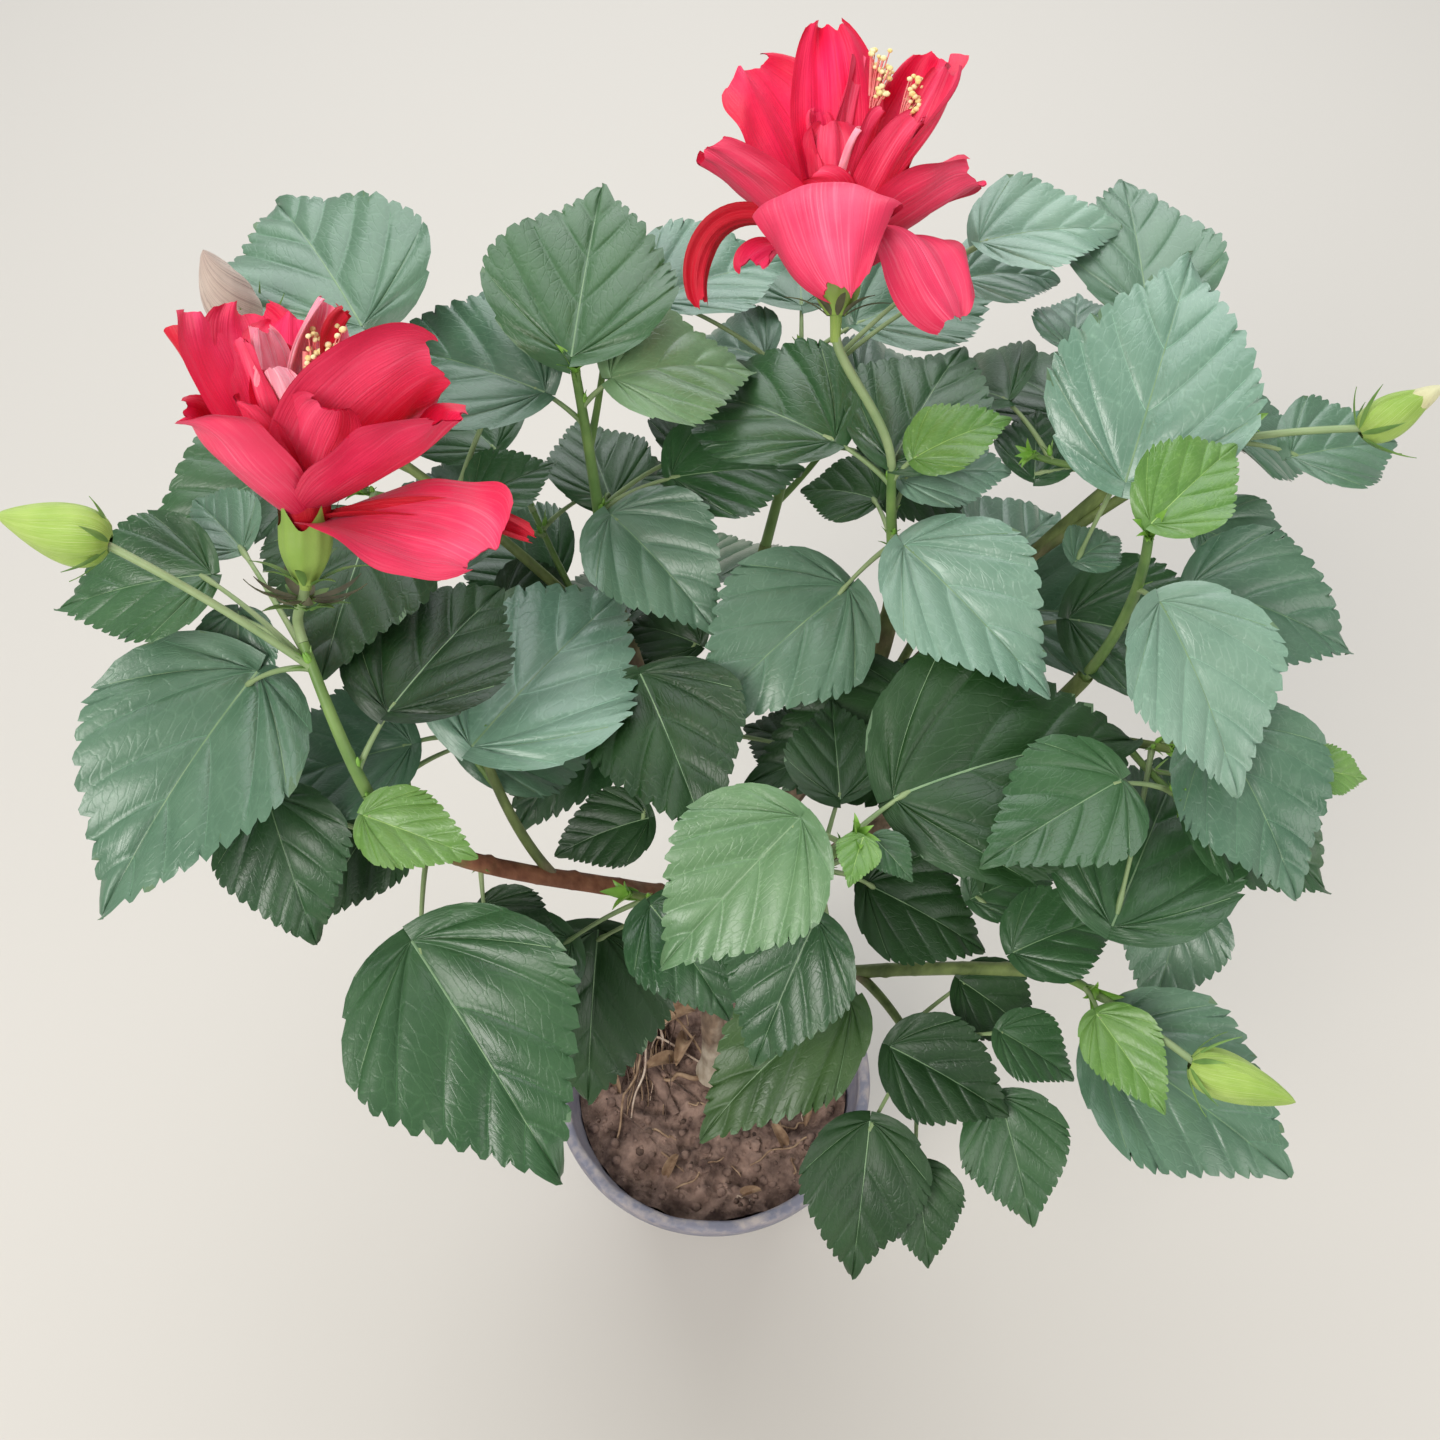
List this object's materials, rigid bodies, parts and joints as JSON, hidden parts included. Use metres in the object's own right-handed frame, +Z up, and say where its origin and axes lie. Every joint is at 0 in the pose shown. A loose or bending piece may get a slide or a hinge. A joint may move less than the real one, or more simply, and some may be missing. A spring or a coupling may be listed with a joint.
{
  "type": "potted hibiscus shrub",
  "caption": "Young double red hibiscus shrub in a tapered plastic pot of soil, with a slim trunk, bent boughs, broad toothed leaves, buds and large blooms.",
  "frame": {"origin": "centre of the pot's flat underside", "axes": "+Z up along the trunk, +X to the right and +Y away from a viewer who stands in front and looks down on the shrub"},
  "size_m": [0.4879, 0.4093, 0.6037],
  "materials": {
    "pot": "dusty grey-blue moulded plastic, worn along the rim",
    "soil": "crumbly dry brown earth",
    "bark": "thin brown bark with fine lengthwise relief",
    "foliage": "leathery green leaves with a soft sheen and paler veins",
    "bloom": "thin matt crimson petals with fine streaks"
  },
  "bodies": {
    "root": {"pot": "pot", "soil": "soil", "trunk": "bark", "bough_left": "bark", "bough_back_left": "bark", "bough_centre": "bark", "bough_back_right": "bark", "bough_right": "bark", "bough_front_right": "bark", "bough_front": "bark", "bough_back": "bark", "foliage_left": "foliage", "foliage_left_low": "foliage", "foliage_left_inner": "foliage", "foliage_back_left": "foliage", "foliage_far_left": "foliage", "foliage_centre": "foliage", "foliage_back": "foliage", "foliage_back_right": "foliage", "foliage_far_right": "foliage", "foliage_right": "foliage", "foliage_right_low": "foliage", "foliage_front_right": "foliage", "foliage_front_low": "foliage", "foliage_front": "foliage", "foliage_front_left": "foliage", "foliage_middle": "foliage", "foliage_back_low": "foliage", "foliage_right_back_low": "foliage", "bloom_left": "bloom", "bloom_right": "bloom"}
  },
  "joints": []
}
